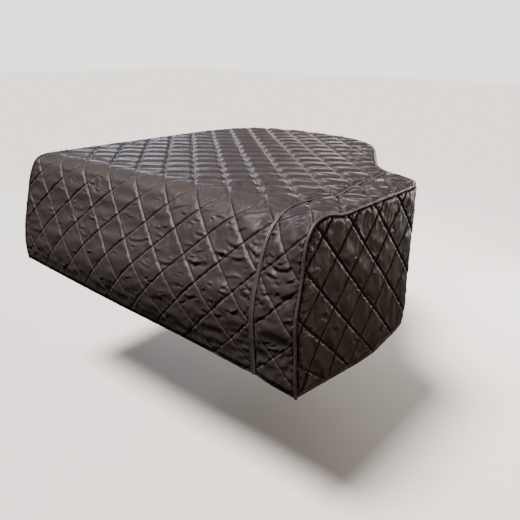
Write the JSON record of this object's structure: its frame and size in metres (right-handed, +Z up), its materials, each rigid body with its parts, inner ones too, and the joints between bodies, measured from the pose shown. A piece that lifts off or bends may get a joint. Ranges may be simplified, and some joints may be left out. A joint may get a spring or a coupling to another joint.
{
  "type": "quilted grand piano cover",
  "caption": "Fitted diamond-quilted cloth cover hanging in the shape of a grand piano: flat top, rounded front, piped edge and side skirt, open underneath.",
  "frame": {"origin": "on the underside of the cover's flat top, over the middle of the piano's lid", "axes": "+X towards the treble side, +Y towards the tail, -Y towards the keyboard, +Z up"},
  "size_m": [1.5265, 1.619, 0.5757],
  "materials": {
    "top_cloth": "satin quilted nylon",
    "strip_cloth": "satin quilted nylon",
    "side_cloth": "satin quilted nylon",
    "binding_tape": "woven nylon tape",
    "piping_cord": "cloth over cord"
  },
  "bodies": {
    "root": {"main_panel": "top_cloth", "treble_strip": "strip_cloth", "side_skirt": "side_cloth", "join_tape": "binding_tape", "edge_piping": "piping_cord"}
  },
  "joints": []
}
